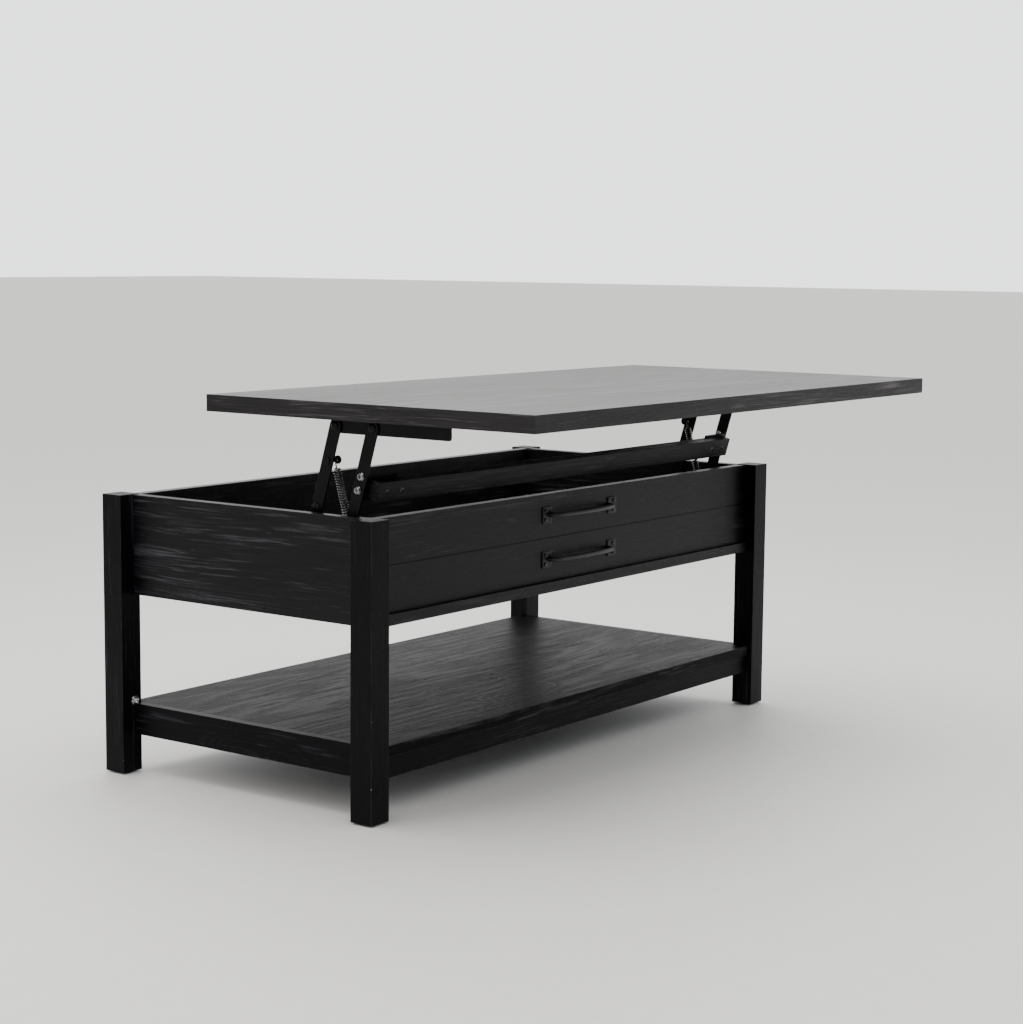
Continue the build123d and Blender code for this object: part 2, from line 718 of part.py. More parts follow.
print("base middle at y", round(base_y, 3), "top middle", round(top_y, 3), "underside", round(underside, 3))
print("travel forward", round(forward_travel, 3), "up", round(upward_travel, 3))
print("pivots low", low_y, round(low_z, 3), "high", high_y, round(high_z, 3))
print("anchor", anchor_at, "stud", stud_at)
print("spring run, raised", round(spring_run.length, 3))
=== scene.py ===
"""The looks of a lift-top coffee table: charcoal wood-grain laminate, black steel linkage, coil springs."""

import json

import bmesh
import bpy
import numpy as np
from mathutils import Matrix, Vector


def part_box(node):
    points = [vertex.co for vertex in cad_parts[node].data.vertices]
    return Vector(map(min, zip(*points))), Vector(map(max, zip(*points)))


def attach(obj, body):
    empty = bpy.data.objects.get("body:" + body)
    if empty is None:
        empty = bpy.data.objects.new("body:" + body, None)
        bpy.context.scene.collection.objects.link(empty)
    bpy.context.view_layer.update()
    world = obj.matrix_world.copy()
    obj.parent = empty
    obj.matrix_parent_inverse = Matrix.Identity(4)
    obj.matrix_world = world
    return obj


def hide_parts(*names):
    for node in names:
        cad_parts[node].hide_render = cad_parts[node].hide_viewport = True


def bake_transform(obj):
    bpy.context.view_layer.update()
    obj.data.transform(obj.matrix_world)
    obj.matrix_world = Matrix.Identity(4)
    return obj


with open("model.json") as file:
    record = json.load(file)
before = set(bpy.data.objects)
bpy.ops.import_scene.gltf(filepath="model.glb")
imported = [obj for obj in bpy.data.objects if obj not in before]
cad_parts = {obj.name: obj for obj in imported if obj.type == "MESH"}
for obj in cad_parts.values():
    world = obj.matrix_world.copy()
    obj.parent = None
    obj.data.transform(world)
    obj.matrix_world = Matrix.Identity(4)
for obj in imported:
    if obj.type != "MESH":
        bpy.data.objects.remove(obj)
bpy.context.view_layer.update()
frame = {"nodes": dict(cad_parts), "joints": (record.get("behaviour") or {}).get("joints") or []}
nodes = frame["nodes"]
joint_at = {joint["name"]: Vector(joint.get("pos_m") or (0, 0, 0)) for joint in frame["joints"]}

# ---- camera ----
# It stands ahead of the left end, a little above the raised top, and looks slightly down
# along both the front and the left side.

camera_place = Vector((-2.7394, -1.9835, 0.7910))
camera_turn = np.radians(-53.573)
camera_drop = np.radians(6.953)
camera_roll = np.radians(0.502)
side_on = Vector((np.cos(camera_turn), np.sin(camera_turn), 0))
level_way = Vector((np.sin(camera_turn), -np.cos(camera_turn), 0))
towards_camera = level_way * np.cos(camera_drop) + Vector((0, 0, np.sin(camera_drop)))
upright = towards_camera.cross(side_on)
rolled_side = side_on * np.cos(camera_roll) + upright * np.sin(camera_roll)
rolled_up = upright * np.cos(camera_roll) - side_on * np.sin(camera_roll)
camera_data = bpy.data.cameras.new("camera")
camera_data.lens = 75.68
camera_data.sensor_width = 36
camera = bpy.data.objects.new("camera", camera_data)
camera_turned = Matrix((rolled_side, rolled_up, towards_camera)).transposed().to_4x4()
camera.matrix_world = Matrix.Translation(camera_place) @ camera_turned
bpy.context.scene.collection.objects.link(camera)
bpy.context.scene.camera = camera

# ---- legs ----
# Four square posts of fibreboard wrapped in charcoal laminate, with the grain running up them.
# The wrap is rubbed pale along its sharp corners, and chipped in a few places.


def add(tree, kind, inputs=None, **settings):
    """Place one shader node. Each input is a plain value or the socket that feeds it."""
    made = tree.nodes.new("ShaderNode" + kind)
    for key, value in settings.items():
        setattr(made, key, value)
    for key, value in (inputs or {}).items():
        if isinstance(value, bpy.types.NodeSocket):
            tree.links.new(value, made.inputs[key])
        else:
            made.inputs[key].default_value = value
    return made


def calc(tree, operation, *values):
    """One step of arithmetic on numbers."""
    return add(tree, "Math", dict(enumerate(values)), operation=operation).outputs[0]


def vector_calc(tree, operation, first, second):
    """One step of arithmetic on vectors."""
    return add(tree, "VectorMath", {0: first, 1: second}, operation=operation).outputs[0]


def scaled(tree, vector, *factors):
    """A vector with each of its axes multiplied by its own factor."""
    return vector_calc(tree, "MULTIPLY", vector, factors)


def noise(tree, vector, detail, roughness=0.5, distortion=0.0):
    """Fractal noise from 0 to 1, one unit across."""
    sockets = {"Vector": vector, "Scale": 1.0, "Detail": detail}
    sockets |= {"Roughness": roughness, "Distortion": distortion}
    return add(tree, "TexNoise", sockets)


def ramp(tree, value, low, high, to_low=0.0, to_high=1.0):
    """A smooth step from one value to another between two limits."""
    sockets = {0: value, 1: low, 2: high, 3: to_low, 4: to_high}
    return add(tree, "MapRange", sockets, interpolation_type="SMOOTHSTEP").outputs[0]


def mixed(tree, factor, first, second):
    """A colour part of the way from one to another."""
    return add(tree, "Mix", {"Factor": factor, 6: first, 7: second}, data_type="RGBA").outputs[2]


def new_group(name, inputs, outputs):
    """An empty node group: inputs as name to (kind, value), outputs as name to kind."""
    group = bpy.data.node_groups.new(name, "ShaderNodeTree")
    for label, (kind, value) in inputs.items():
        socket = group.interface.new_socket(label, in_out="INPUT", socket_type="NodeSocket" + kind)
        socket.default_value = value
    for label, kind in outputs.items():
        group.interface.new_socket(label, in_out="OUTPUT", socket_type="NodeSocket" + kind)
    return group, group.nodes.new("NodeGroupInput").outputs, group.nodes.new("NodeGroupOutput")


def make_rustic_grain():
    """Printed and embossed oak figure. X of the vector is the grain's direction, in metres.

    Ring lines are contours of slow noise that is stretched along the grain, so that they close in long
    arches. Knots are Voronoi points that lift the same field, so that the rings flow round them. Streaks
    and pores are finer noise, stretched further.
    """
    tree, source, result = new_group(
        "rustic_grain",
        {"Vector": ("Vector", (0, 0, 0)), "Figure": ("Float", 1.0), "Streaks": ("Float", 1.0)},
        {"Tone": "Float", "Roughness": "Float", "Height": "Float"},
    )
    drift = noise(tree, scaled(tree, source["Vector"], 2.2, 9, 9), 3.0).outputs["Color"]
    centred = vector_calc(tree, "SUBTRACT", drift, (0.5, 0.5, 0.5))
    wandering = vector_calc(tree, "ADD", source["Vector"], scaled(tree, centred, 0.05, 0.02, 0.02))

    knot = add(tree, "TexVoronoi", {"Vector": scaled(tree, wandering, 2.6, 8, 8), "Scale": 1.0})
    knot_swell = ramp(tree, knot.outputs["Distance"], 0.0, 0.34, 0.5, 0.0)
    field = noise(tree, scaled(tree, wandering, 0.8, 8, 8), 1.5, 0.45).outputs["Fac"]
    rings = calc(tree, "MULTIPLY", calc(tree, "ADD", field, knot_swell), 17.0)
    ring_line = ramp(tree, calc(tree, "PINGPONG", rings, 0.5), 0.02, 0.42)

    streaks = noise(tree, scaled(tree, wandering, 7, 150, 150), 6.0, 0.64, 0.5).outputs["Fac"]
    fibres = noise(tree, scaled(tree, wandering, 9, 420, 420), 3.0, 0.6).outputs["Fac"]
    pores = noise(tree, scaled(tree, wandering, 60, 1300, 1300), 1.0).outputs["Fac"]
    patches = noise(tree, scaled(tree, source["Vector"], 1.6, 7, 7), 2.0).outputs["Fac"]

    figure = calc(tree, "MULTIPLY", calc(tree, "SUBTRACT", ring_line, 0.5), source["Figure"])
    pale_streak = calc(tree, "MULTIPLY", ramp(tree, streaks, 0.48, 0.78), source["Streaks"])
    tone = calc(tree, "MULTIPLY_ADD", figure, 0.22, ramp(tree, patches, 0.3, 0.7, 0.2, 0.42))
    tone = calc(tree, "MULTIPLY_ADD", pale_streak, 0.42, tone)
    tone = calc(tree, "MULTIPLY_ADD", calc(tree, "SUBTRACT", fibres, 0.5), 0.9, tone)
    knot_heart = ramp(tree, knot.outputs["Distance"], 0.03, 0.1, 0.25, 0.0)
    tone = calc(tree, "SUBTRACT", tone, knot_heart)
    pore = ramp(tree, pores, 0.62, 0.7)
    height = calc(tree, "MULTIPLY_ADD", fibres, 0.55, calc(tree, "MULTIPLY", ring_line, 0.3))
    height = calc(tree, "MULTIPLY_ADD", pale_streak, 0.6, height)
    height = calc(tree, "MULTIPLY_ADD", pore, -0.5, height)
    tree.links.new(tone, result.inputs["Tone"])
    tree.links.new(ramp(tree, tone, 0.0, 0.9, 0.36, 0.5), result.inputs["Roughness"])
    tree.links.new(height, result.inputs["Height"])
    return tree


def make_edge_wear():
    """Wear along a board's edges. Low and High are the board's corners.

    Of the distances from a point to the three nearest sides of the box, one is nought on the surface
    and the middle one is the distance to the nearest edge.
    """
    tree, source, result = new_group(
        "edge_wear",
        {
            "Vector": ("Vector", (0, 0, 0)), "Low": ("Vector", (0, 0, 0)), "High": ("Vector", (1, 1, 1)),
            "Width": ("Float", 0.0012), "Chipping": ("Float", 0.5),
        },
        {"Rub": "Float", "Chip": "Float"},
    )
    from_low = vector_calc(tree, "SUBTRACT", source["Vector"], source["Low"])
    from_high = vector_calc(tree, "SUBTRACT", source["High"], source["Vector"])
    inside = vector_calc(tree, "MINIMUM", from_low, from_high)
    x, y, z = add(tree, "SeparateXYZ", {0: inside}).outputs
    lower = calc(tree, "MINIMUM", x, y)
    upper = calc(tree, "MAXIMUM", x, y)
    to_edge = calc(tree, "MAXIMUM", lower, calc(tree, "MINIMUM", upper, z))
    rubbed = noise(tree, scaled(tree, source["Vector"], 45, 45, 45), 4.0, 0.6).outputs["Fac"]
    chipped = noise(tree, scaled(tree, source["Vector"], 210, 210, 210), 3.0, 0.7).outputs["Fac"]
    reach = calc(tree, "MULTIPLY", source["Width"], ramp(tree, rubbed, 0.35, 0.75, 0.35, 1.0))
    near = calc(tree, "SUBTRACT", 1.0, calc(tree, "DIVIDE", to_edge, calc(tree, "ADD", reach, 0.00001)))
    rub = calc(tree, "MAXIMUM", near, 0.0)
    sparse = calc(tree, "MULTIPLY", ramp(tree, chipped, 0.69, 0.72), ramp(tree, rub, 0.0, 0.2))
    chip = calc(tree, "MULTIPLY", sparse, source["Chipping"])
    tree.links.new(rub, result.inputs["Rub"])
    tree.links.new(chip, result.inputs["Chip"])
    return tree


rustic_grain = make_rustic_grain()
edge_wear = make_edge_wear()
grain_turn = {"x": (0, 0, 0), "y": (0, 0, -np.pi / 2), "z": (0, np.pi / 2, 0)}
cut_step = (1.9, 0.83, 0.57)
charcoal = [(0.0, (0.0006, 0.0006, 0.0009)), (0.42, (0.0032, 0.003, 0.0044)), (0.85, (0.042, 0.041, 0.047))]
bare_fibreboard = (0.5, 0.47, 0.42, 1)


def charcoal_laminate(
    node, along, cut, figure=1.0, streaks=1.0, wear=0.0012, chipping=0.35,
    tones=charcoal, shine=0.13, relief=0.35,
):
    """The laminate of one board.

    The grain runs along an axis, and cut picks which part of the endless figure shows.
    """
    material = bpy.data.materials.new("charcoal_laminate_" + node)
    material.use_nodes = True
    tree = material.node_tree
    shader = tree.nodes["Principled BSDF"]
    place = add(tree, "TexCoord").outputs["Object"]
    shift = tuple(cut * step for step in cut_step)
    sockets = {"Vector": place, "Rotation": grain_turn[along], "Location": shift}
    grain = add(tree, "Group", {"Vector": add(tree, "Mapping", sockets).outputs[0]}, node_tree=rustic_grain)
    grain.inputs["Figure"].default_value = figure
    grain.inputs["Streaks"].default_value = streaks
    low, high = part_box(node)
    worn = add(tree, "Group", node_tree=edge_wear)
    tree.links.new(place, worn.inputs["Vector"])
    for label, value in (("Low", low), ("High", high), ("Width", wear), ("Chipping", chipping)):
        worn.inputs[label].default_value = value
    colours = add(tree, "ValToRGB", {0: grain.outputs["Tone"]})
    stops = colours.color_ramp.elements
    stops.new(tones[1][0])
    for stop, (position, colour) in zip(stops, tones):
        stop.position = position
        stop.color = (*colour, 1)
    rub_colour = tuple(2.2 * channel for channel in tones[-1][1])
    rub = calc(tree, "MULTIPLY", worn.outputs["Rub"], 0.3)
    rubbed = mixed(tree, rub, colours.outputs[0], (*rub_colour, 1))
    chipped = mixed(tree, worn.outputs["Chip"], rubbed, bare_fibreboard)
    tree.links.new(chipped, shader.inputs["Base Color"])
    shader.inputs["Specular IOR Level"].default_value = shine
    tree.links.new(grain.outputs["Roughness"], shader.inputs["Roughness"])
    relief = add(tree, "Bump", {"Strength": relief, "Distance": 0.0006, "Height": grain.outputs["Height"]})
    tree.links.new(relief.outputs[0], shader.inputs["Normal"])
    return material


def finish_node(node, material):
    """Give a carried-over part its finish."""
    nodes[node].data.materials.clear()
    nodes[node].data.materials.append(material)


for cut, node in enumerate(("leg_front_left", "leg_front_right", "leg_back_left", "leg_back_right")):
    leg_wrap = charcoal_laminate(node, "z", cut + 0.4, figure=0.35, streaks=0.6, chipping=0.9, shine=0.07)
    finish_node(node, leg_wrap)

# ---- glides ----
# A black polypropylene button nailed under each leg. Its rim is rounded and it carries a slight dish.


def make_fine_mottle():
    """Slow and fine noise together, for coats and moulded surfaces: a roughness value and a height."""
    tree, source, result = new_group(
        "fine_mottle",
        {
            "Vector": ("Vector", (0, 0, 0)), "Scale": ("Float", 900.0),
            "Base Roughness": ("Float", 0.4), "Spread": ("Float", 0.1),
        },
        {"Mottle": "Float", "Roughness": "Float", "Height": "Float"},
    )
    enlarged = add(tree, "VectorMath", {0: source["Vector"], "Scale": source["Scale"]}, operation="SCALE")
    fine = noise(tree, enlarged.outputs[0], 3.0, 0.6).outputs["Fac"]
    slow = noise(tree, scaled(tree, source["Vector"], 38, 38, 38), 3.0, 0.6).outputs["Fac"]
    mottle = calc(tree, "MULTIPLY_ADD", fine, 0.4, calc(tree, "MULTIPLY", slow, 0.6))
    centred = calc(tree, "SUBTRACT", mottle, 0.5)
    tree.links.new(mottle, result.inputs["Mottle"])
    full_spread = calc(tree, "MULTIPLY", source["Spread"], 2.0)
    rough = calc(tree, "MULTIPLY_ADD", centred, full_spread, source["Base Roughness"])
    tree.links.new(rough, result.inputs["Roughness"])
    tree.links.new(fine, result.inputs["Height"])
    return tree


fine_mottle = make_fine_mottle()


def coated(name, dark, light, roughness, spread, metallic=0.0, scale=900.0, relief=0.12, shine=0.5):
    """A plated, painted or moulded finish between two near colours, with a mottled gloss."""
    material = bpy.data.materials.new(name)
    material.use_nodes = True
    tree = material.node_tree
    shader = tree.nodes["Principled BSDF"]
    mottle = add(tree, "Group", node_tree=fine_mottle)
    tree.links.new(add(tree, "TexCoord").outputs["Object"], mottle.inputs["Vector"])
    for label, value in (("Scale", scale), ("Base Roughness", roughness), ("Spread", spread)):
        mottle.inputs[label].default_value = value
    patchy = ramp(tree, mottle.outputs["Mottle"], 0.35, 0.65)
    tree.links.new(mixed(tree, patchy, (*dark, 1), (*light, 1)), shader.inputs["Base Color"])
    tree.links.new(mottle.outputs["Roughness"], shader.inputs["Roughness"])
    shader.inputs["Metallic"].default_value = metallic
    shader.inputs["Specular IOR Level"].default_value = shine
    bump = add(tree, "Bump", {"Strength": relief, "Distance": 0.0001, "Height": mottle.outputs["Height"]})
    tree.links.new(bump.outputs[0], shader.inputs["Normal"])
    return material


def mesh_from_grids(name, grids):
    """One mesh of several point grids of shape (along, around, 3), wrapped round and joined by quads."""
    points, faces, start = [], [], 0
    for grid in grids:
        along, around, _ = grid.shape
        row, column = np.meshgrid(np.arange(along - 1) * around, np.arange(around), indexing="ij")
        following = (column + 1) % around
        below = row + around
        quads = np.stack((row + column, row + following, below + following, below + column), -1)
        points.append(grid.reshape(-1, 3))
        faces.append(quads.reshape(-1, 4) + start)
        start += along * around
    mesh = bpy.data.meshes.new(name)
    mesh.from_pydata(np.concatenate(points).tolist(), [], np.concatenate(faces).tolist())
    tidy_mesh(mesh)
    return mesh


def tidy_mesh(mesh):
    """Merge the doubled points at poles, point the faces outwards and smooth all but the sharp edges."""
    work = bmesh.new()
    work.from_mesh(mesh)
    bmesh.ops.remove_doubles(work, verts=work.verts, dist=1e-7)
    bmesh.ops.dissolve_degenerate(work, edges=work.edges, dist=1e-7)
    bmesh.ops.recalc_face_normals(work, faces=work.faces)
    for face in work.faces:
        face.smooth = True
    for edge in work.edges:
        edge.smooth = not edge.is_manifold or edge.calc_face_angle(0) < 0.6
    work.to_mesh(mesh)
    work.free()


def new_piece(mesh, body, slot, material, *replaced):
    """Put a finished mesh in the scene on its body, in place of the parts that it stands for."""
    piece = bpy.data.objects.new(mesh.name, mesh)
    bpy.context.scene.collection.objects.link(piece)
    mesh.materials.append(material)
    if body:
        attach(piece, body)
    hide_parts(*replaced)
    return piece


def solids_of(node):
    """The separate solids of a part, each as its points. Triangles that share a point get the same label."""
    mesh = nodes[node].data
    points = np.empty(len(mesh.vertices) * 3)
    mesh.vertices.foreach_get("co", points)
    points = points.reshape(-1, 3)
    corners = np.empty(len(mesh.loops), int)
    mesh.loops.foreach_get("vertex_index", corners)
    _, merged = np.unique(np.round(points, 6), axis=0, return_inverse=True)
    triangles = merged.reshape(-1)[corners].reshape(-1, 3)
    label = np.arange(merged.max() + 1)
    while True:
        lowest = label[triangles].min(1)
        smaller = label.copy()
        np.minimum.at(smaller, triangles.ravel(), np.repeat(lowest, 3))
        smaller = smaller[smaller]
        if (smaller == label).all():
            break
        label = smaller
    of_point = label[merged.reshape(-1)]
    return [points[of_point == each] for each in np.unique(of_point)]


def end_faces(node, axis):
    """For each solid of a part, the middle of the face at its far end along an axis, and its length that way.

    The axis is one direction, or a function that gives the direction from a solid's middle.
    """
    places, axes, lengths = [], [], []
    for points in solids_of(node):
        middle = (points.min(0) + points.max(0)) / 2
        direction = np.array(axis(middle) if callable(axis) else axis, float)
        reach = points @ direction
        end = points[reach > reach.max() - 1e-4]
        places.append((end.min(0) + end.max(0)) / 2)
        axes.append(direction)
        lengths.append(reach.max() - reach.min())
    return np.array(places), np.array(axes), np.array(lengths)


def turned(profile, places, axes, sides=40, corner=None, recess=None):
    """Turned parts: a profile of (radius, height) rows, carried round each place's axis.

    corner(angle) multiplies the radius, for a hexagon, where a row's third value is 1. recess(x, y) is how
    deep the driver's recess is at a point across the axis, where a row's fourth value is 1.
    """
    rows = np.array([(*row, 0, 0)[:4] for row in profile], float)
    angle = np.linspace(0, 2 * np.pi, sides, endpoint=False)
    swell = 1 + rows[:, 2:3] * ((corner(angle) if corner else 1) - 1)
    radius = rows[:, 0:1] * swell
    x, y = radius * np.cos(angle), radius * np.sin(angle)
    sunk = rows[:, 3:4] * (recess(x, y) if recess else 0)
    height = rows[:, 1:2] - sunk + 0 * x
    grids = []
    for place, axis in zip(places, axes):
        helper = np.array((0.0, 0, 1)) if abs(axis[2]) < 0.9 else np.array((0.0, 1, 0))
        across = np.cross(helper, axis)
        across /= np.linalg.norm(across)
        upward = np.cross(axis, across)
        grids.append(place + x[..., None] * across + y[..., None] * upward + height[..., None] * axis)
    return grids


down = (0, 0, -1)
glide_feet, glide_axes, _ = end_faces("leg_glides", down)
glide_low, glide_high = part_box("leg_glides")
glide_radius = 0.011
glide_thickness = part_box("leg_front_left")[0].z - glide_low.z
glide_nail = glide_high.z - glide_low.z
glide_profile = [
    (0, -0.0006), (0.3 * glide_radius, -0.0005), (0.7 * glide_radius, -0.0001), (0.8 * glide_radius, 0),
    (glide_radius - 0.0008, -0.0001), (glide_radius - 0.0002, -0.0004), (glide_radius, -0.001),
    (glide_radius, -glide_thickness), (0.0012, -glide_thickness), (0.0012, -glide_nail), (0, -glide_nail),
]
glide_plastic = coated("black_polypropylene", (0.006, 0.006, 0.006), (0.014, 0.014, 0.014), 0.5, 0.12)
glides = mesh_from_grids("glides", turned(glide_profile, glide_feet, glide_axes))
new_piece(glides, "base", "glide_plastic", glide_plastic, "leg_glides")

# ---- aprons and front panel ----
# Boards of 16 mm particle board faced with the same laminate, their grain running the long way.
# The front panel is one board whose shallow groove makes it look like two drawer fronts.

for node, along, cut, streaks in (
    ("side_apron_left", "y", 2.3, 1.3), ("side_apron_right", "y", 7.1, 1.2), ("front_panel", "x", 5.2, 0.9),
):
    finish_node(node, charcoal_laminate(node, along, cut, figure=0.15, streaks=streaks, wear=0.0016))
finish_node("back_apron", charcoal_laminate("back_apron", "x", 3.6, figure=0.15, wear=0.0016, shine=0.3))

# ---- compartment floor ----
# A laminated board screwed up into the front panel. Its front edge stands proud as a ledge.

finish_node("compartment_floor", charcoal_laminate("compartment_floor", "x", 8.7))

# ---- lower shelf and rails ----
# The shelf drops between two side rails and rests on two long ones. Its face has the boldest figure.

finish_node("shelf", charcoal_laminate("shelf", "x", 6.35, figure=1.4, streaks=1.9, shine=0.035, relief=1.0))
for node, along, cut, figure in (
    ("shelf_rail_left", "y", 4.4, 0.4), ("shelf_rail_right", "y", 1.2, 0.4),
    ("shelf_rail_front", "x", 9.4, 0.4), ("shelf_rail_back", "x", 10.8, 0.4),
):
    finish_node(node, charcoal_laminate(node, along, cut, figure=figure, streaks=0.7, shine=0.06))

# ---- knock-down fixings ----
# Zinc cams with a cross slot draw the boards onto bolts in the legs. Beech dowels line the joints up, and
# a ringed steel insert shows on each leg above the side rails.


def cross_slot(half_length, half_width, depth):
    """A driver's cross: sunk where a point is inside either of two crossed bars, with sloping walls."""

    def bar_end(inside, slope):
        """How deep a point is, from 0 to 1, at some way inside a bar's outline."""
        return np.clip(inside / (slope * half_width), 0, 1)

    def sunk(x, y):
        along_x = bar_end(half_length - abs(x), 0.5) * bar_end(half_width - abs(y), 0.3)
        along_y = bar_end(half_length - abs(y), 0.5) * bar_end(half_width - abs(x), 0.3)
        return depth * np.maximum(along_x, along_y)

    return sunk


def inward(middle):
    """Towards the middle of the table, along the axis on which a cam's board faces it."""
    if middle[1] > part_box("back_apron")[0].y:
        return (0, -1, 0)
    if middle[1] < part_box("front_panel")[1].y:
        return (0, 1, 0)
    return (-np.sign(middle[0]), 0, 0)


zinc = coated("bright_zinc", (0.5, 0.5, 0.51), (0.82, 0.81, 0.8), 0.19, 0.1, metallic=1.0, scale=1400.0)
black_oxide = coated("black_oxide", (0.004, 0.004, 0.0045), (0.09, 0.09, 0.092), 0.18, 0.1, metallic=0.8)
beech = coated("raw_beech", (0.5, 0.36, 0.22), (0.66, 0.5, 0.33), 0.6, 0.1, scale=300.0)
finish_node("cam_bolts", zinc)
finish_node("dowels", beech)

cam_radius, cam_depth = 0.0075, 0.0125
cam_rows = [(radius * cam_radius, 0, 0, 1) for radius in np.linspace(0, 0.9, 14)]
cam_rows += [(cam_radius, -0.0005), (cam_radius, -cam_depth + 0.0005)]
cam_rows += [(cam_radius * 0.9, -cam_depth), (0, -cam_depth)]
cam_faces, cam_axes, _ = end_faces("cam_locks", inward)
cams = turned(cam_rows, cam_faces, cam_axes, sides=64, recess=cross_slot(0.0045, 0.0009, 0.0025))
new_piece(mesh_from_grids("cam_locks_slotted", cams), "base", "zinc_steel", zinc, "cam_locks")

insert_outer, insert_bore, insert_depth = 0.0075, 0.0035, 0.006
insert_rows = [
    (0, -0.0035), (insert_bore, -0.0035), (insert_bore, -0.0006), (insert_bore + 0.0005, 0.0),
    (0.0052, 0.0001), (0.0056, -0.0003), (0.0062, -0.0003), (0.0066, 0.0001),
    (insert_outer - 0.0004, 0.0001), (insert_outer, -0.0004),
    (insert_outer, -insert_depth), (0, -insert_depth),
]
base_middle = (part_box("leg_front_left")[0].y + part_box("leg_back_left")[1].y) / 2


def along_the_leg_gap(middle):
    """Level, from a leg towards the other leg at the same end of the table."""
    return (0, np.sign(base_middle - middle[1]), 0)


insert_faces, insert_axes, _ = end_faces("leg_inserts", along_the_leg_gap)
inserts = mesh_from_grids("leg_inserts_ringed", turned(insert_rows, insert_faces, insert_axes, sides=48))
new_piece(inserts, "base", "zinc_steel", zinc, "leg_inserts")


def screw_rows(head_radius, head_height, shank_radius, length, dome=0.35):
    """A pan-head screw's profile from the top of its head down to its point, with rolled threads."""
    crown = [
        (head_radius * r, -dome * head_height * (1 - np.sqrt(1 - (0.92 * r) ** 2)), 0, 1)
        for r in np.linspace(0, 0.9, 12)
    ]
    rim = [(head_radius, -0.55 * head_height), (head_radius, -head_height), (shank_radius, -head_height)]
    turns = np.linspace(0, 1, 33)[1:]
    reach = head_height + (length - head_height - 2 * shank_radius) * turns
    threads = [(shank_radius * (1.0 if k % 2 else 0.78), -depth) for k, depth in enumerate(reach)]
    return crown + rim + threads + [(0, -length)]


def screws(name, node, axis, head_radius, head_height, shank_radius=0.002):
    """Replace a group of plain screws by threaded ones with a crossed head."""
    tops, axes, lengths = end_faces(node, axis)
    rows = screw_rows(head_radius, head_height, shank_radius, lengths.mean())
    slot = cross_slot(0.62 * head_radius, 0.17 * head_radius, 0.55 * head_height)
    return mesh_from_grids(name, turned(rows, tops, axes, sides=32, recess=slot))


for name, node in (("floor_screws_crossed", "floor_screws"), ("shelf_screws_crossed", "shelf_screws")):
    new_piece(screws(name, node, down, 0.004, 0.0022), "base", "black_screw", black_oxide, node)

# ---- pulls ----
# Two cast bar pulls in satin black. Each bar bows outwards, thins towards its bent feet, and stands on a
# plate with two screws beyond the foot.

pull_black = coated(
    "cast_satin_black", (0.0015, 0.0015, 0.002), (0.004, 0.004, 0.005), 0.24, 0.08,
    scale=300.0, relief=0.1, shine=0.16,
)
panel_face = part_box("front_panel")[0].y
tree = pull_black.node_tree
shader = tree.nodes["Principled BSDF"]
_, depth, _ = add(tree, "SeparateXYZ", {0: add(tree, "TexCoord").outputs["Object"]}).outputs
# Painted highlight: the base colour turns paler wherever the cast metal stands more than 3 mm in front of the
# panel, fully so beyond 9 mm. The bar therefore reads lighter than the plates, as if it caught more light.
painted_bar_sheen = ramp(tree, depth, panel_face - 0.009, panel_face - 0.003, 1.0, 0.0)
coat = shader.inputs["Base Color"].links[0].from_socket
tree.links.new(mixed(tree, painted_bar_sheen, coat, (0.035, 0.034, 0.033, 1)), shader.inputs["Base Color"])
pull_half_span, pull_foot_splay, pull_standoff, pull_bow = 0.080, 0.002, 0.013, 0.005
rod_radius = 0.0044
plate_centre, plate_width, plate_height, plate_thickness = 0.088, 0.024, 0.026, 0.002


def tube(path, radius, reference, sides=14):
    """A round section carried along a path. Its first axis is the reference, squared to the path."""
    tangent = np.gradient(path, axis=0)
    tangent /= np.linalg.norm(tangent, axis=1, keepdims=True)
    first = reference - (reference * tangent).sum(1, keepdims=True) * tangent
    first /= np.linalg.norm(first, axis=1, keepdims=True)
    second = np.cross(tangent, first)
    angle = np.linspace(0, 2 * np.pi, sides, endpoint=False)[None, :, None]
    radius = np.broadcast_to(np.asarray(radius, float), len(path))[:, None, None]
    grid = path[:, None] + radius * (np.cos(angle) * first[:, None] + np.sin(angle) * second[:, None])
    start = np.broadcast_to(path[0], (1, sides, 3))
    end = np.broadcast_to(path[-1], (1, sides, 3))
    return np.concatenate((start, grid, end))


def rounded_plate(centre, normal, half_width, half_height, thickness, corner=0.003):
    """A cast plate: a rounded rectangle, drawn in step by step towards its middle as it rises to its face.

    The outline is a circle of the corner's radius about each corner. The grid's rows are insets of it, and
    the rise that goes with each.
    """
    angle = np.linspace(0, 2 * np.pi, 64, endpoint=False) + np.pi / 64
    inset = np.array([(1, 0, 0, 0.06, 0.14, 0.3, 0.7, 1)]).T
    rise = np.array([(0, 0, 0.7, 0.93, 1.0, 0.94, 0.94, 0.94)]).T
    wide = np.sign(np.cos(angle)) * (half_width - corner) + np.cos(angle) * corner
    high = np.sign(np.sin(angle)) * (half_height - corner) + np.sin(angle) * corner
    across = np.cross((0, 0, 1.0), normal)
    grid = (1 - inset)[..., None] * (wide[:, None] * across + high[:, None] * np.array((0, 0, 1.0)))
    return centre + grid + (rise * thickness)[..., None] * np.asarray(normal, float)


